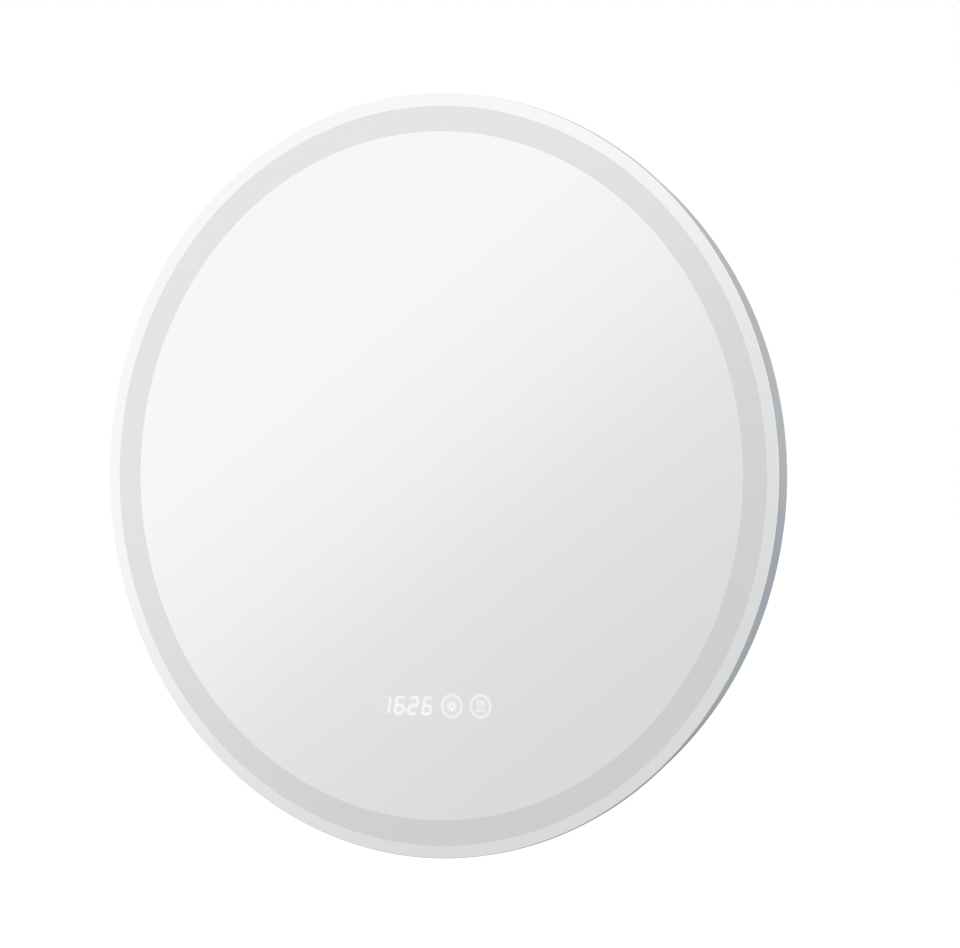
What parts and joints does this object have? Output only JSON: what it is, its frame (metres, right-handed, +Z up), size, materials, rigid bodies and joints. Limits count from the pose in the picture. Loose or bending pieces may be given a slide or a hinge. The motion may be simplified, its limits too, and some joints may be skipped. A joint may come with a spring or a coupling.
{
  "type": "lighted bathroom mirror",
  "caption": "Round wall mirror with a frosted light band near its edge, a clock and touch keys behind the glass, a slim metal frame, and a back cover with keyhole hangers.",
  "frame": {"origin": "centre of the frame's rear rim, on the wall plane", "axes": "+X to the viewer's right, +Y into the wall, so that the mirror faces -Y, and +Z up"},
  "size_m": [0.5999, 0.03, 0.6],
  "materials": {
    "float_glass": "polished, ground and polished edge",
    "silver": "silvered, under grey backing paint",
    "foam_tape": "closed-cell foam, tacky on both faces",
    "anodised_aluminium": "satin anodised",
    "strip_film": "thin film",
    "phosphor": "resin over a light chip",
    "powder_coated_steel": "fine-textured powder coat",
    "zinc_plated_steel": "bright zinc plate",
    "grey_plastic": "moulded, fine grain",
    "black_rubber": "moulded",
    "white_plastic": "moulded",
    "clamp_brass": "bright",
    "circuit_board": "lacquered laminate",
    "winding_plastic": "wound and taped",
    "copper_foil": "bright copper",
    "chip_plastic": "moulded",
    "heating_foil": "dull foil",
    "grey_cable": "extruded",
    "green_cable": "extruded, green and yellow in use"
  },
  "bodies": {
    "root": {"mirror_glass": "float_glass", "silver_field": "silver", "silver_margin": "silver", "bonding_tape": "foam_tape", "frame_ring": "anodised_aluminium", "frame_joiner": "anodised_aluminium", "led_strip": "strip_film", "led_chips": "phosphor", "back_cover": "powder_coated_steel", "cover_screws": "zinc_plated_steel", "hanger_plates": "zinc_plated_steel", "keyhole_caps": "grey_plastic", "cable_bush": "black_rubber", "terminal_block": "white_plastic", "terminal_clamps": "clamp_brass", "earth_tab": "zinc_plated_steel", "earth_sleeve": "white_plastic", "driver_tape": "foam_tape", "driver_case": "white_plastic", "driver_lid": "white_plastic", "driver_board": "circuit_board", "driver_transformer": "winding_plastic", "driver_capacitor": "winding_plastic", "control_case": "grey_plastic", "control_gasket": "foam_tape", "control_board": "circuit_board", "light_guide": "white_plastic", "touch_foils": "copper_foil", "control_chip": "chip_plastic", "control_plugs": "white_plastic", "display_leds": "phosphor", "demister_pad": "strip_film", "heater_track": "heating_foil", "heater_connector": "white_plastic", "mains_lead": "grey_cable", "earth_lead": "green_cable", "strip_lead": "grey_cable", "control_lead": "grey_cable", "demister_lead": "grey_cable", "cable_clips": "white_plastic"}
  },
  "joints": []
}
